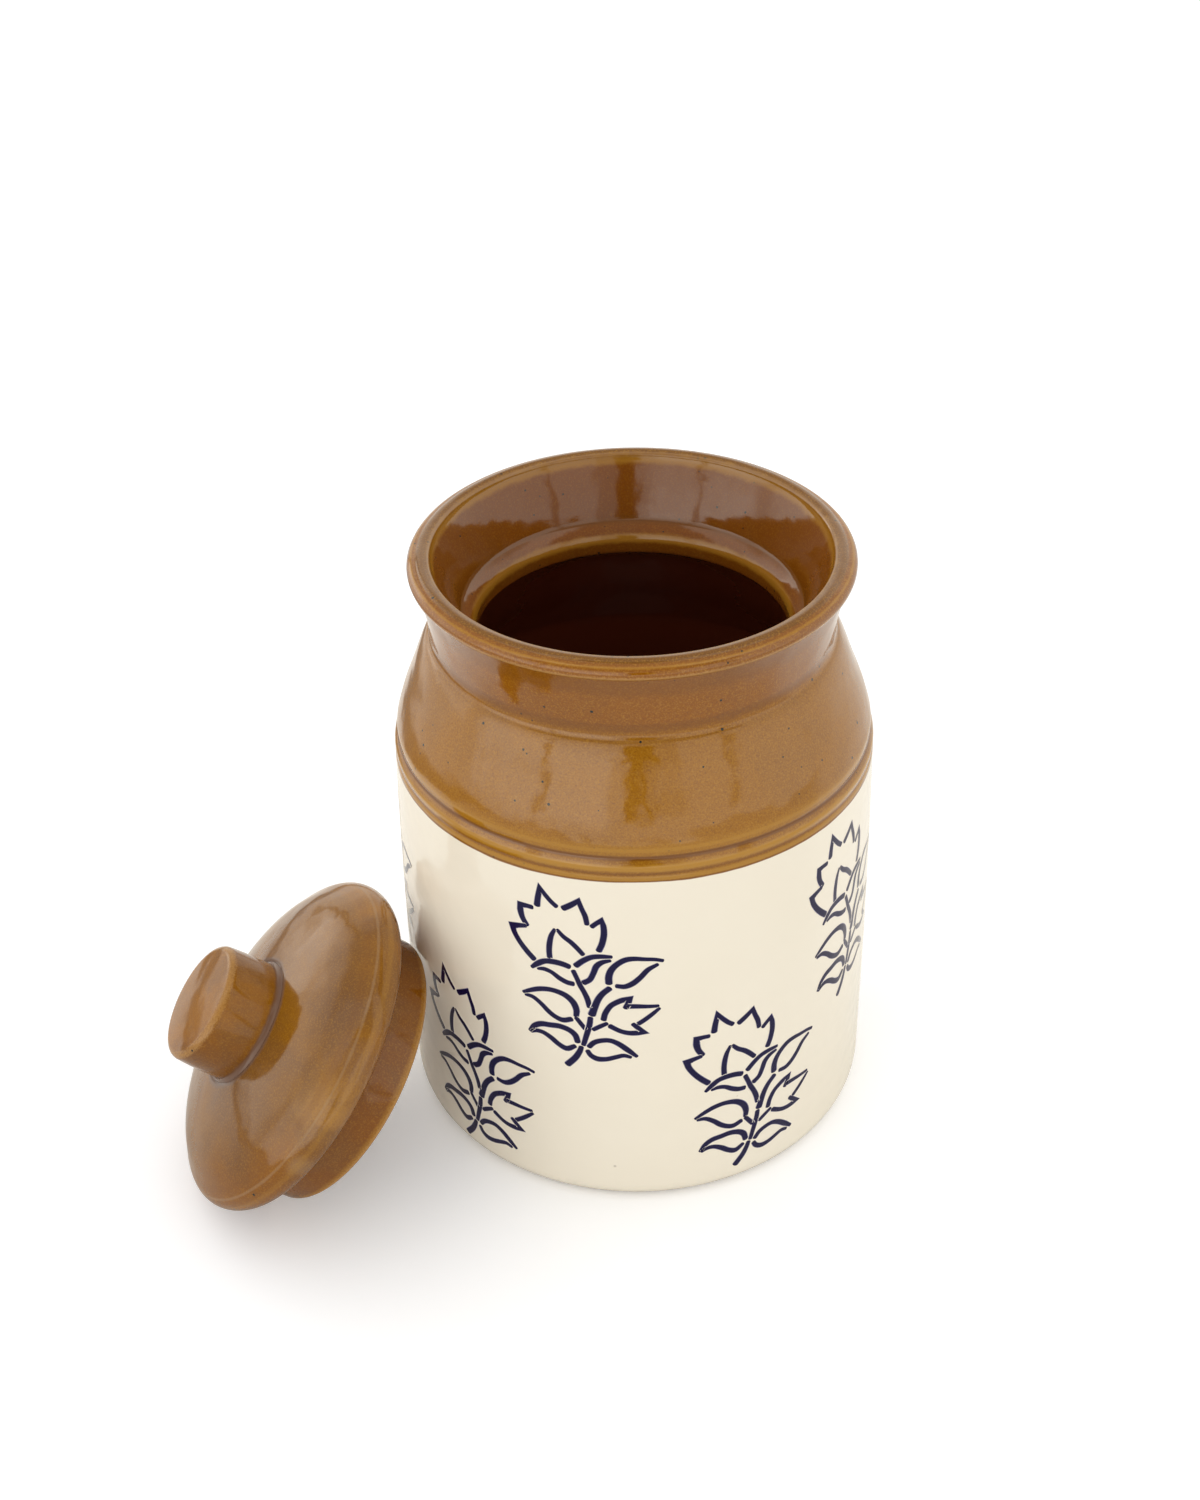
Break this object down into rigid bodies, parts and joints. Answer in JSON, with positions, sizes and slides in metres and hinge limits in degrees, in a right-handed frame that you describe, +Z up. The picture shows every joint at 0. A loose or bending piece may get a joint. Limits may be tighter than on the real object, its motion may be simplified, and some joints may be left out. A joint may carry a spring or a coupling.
{
  "type": "ceramic storage jar",
  "caption": "Two-tone glazed stoneware storage jar with a flared mouth and a loose domed lid with a knob, leaning beside it.",
  "frame": {"origin": "centre of the jar's flat base, on the surface that it stands on", "axes": "+Z up along the jar's own axis; the lid lies on the -X side and a little towards -Y, where the picture shows it"},
  "size_m": [0.1847, 0.1496, 0.1627],
  "materials": {
    "jar_glaze": "gloss, cream below the band and brown above it",
    "lid_glaze": "gloss",
    "knob_glaze": "gloss"
  },
  "bodies": {
    "jar": {"jar_body": "jar_glaze"},
    "lid": {"lid": "lid_glaze", "lid_knob": "knob_glaze"}
  },
  "joints": [
    {"name": "lid_lift", "type": "slide", "parent": "jar", "child": "lid", "axis": [0, 0, 1], "range_m": [0, 0.18]}
  ]
}
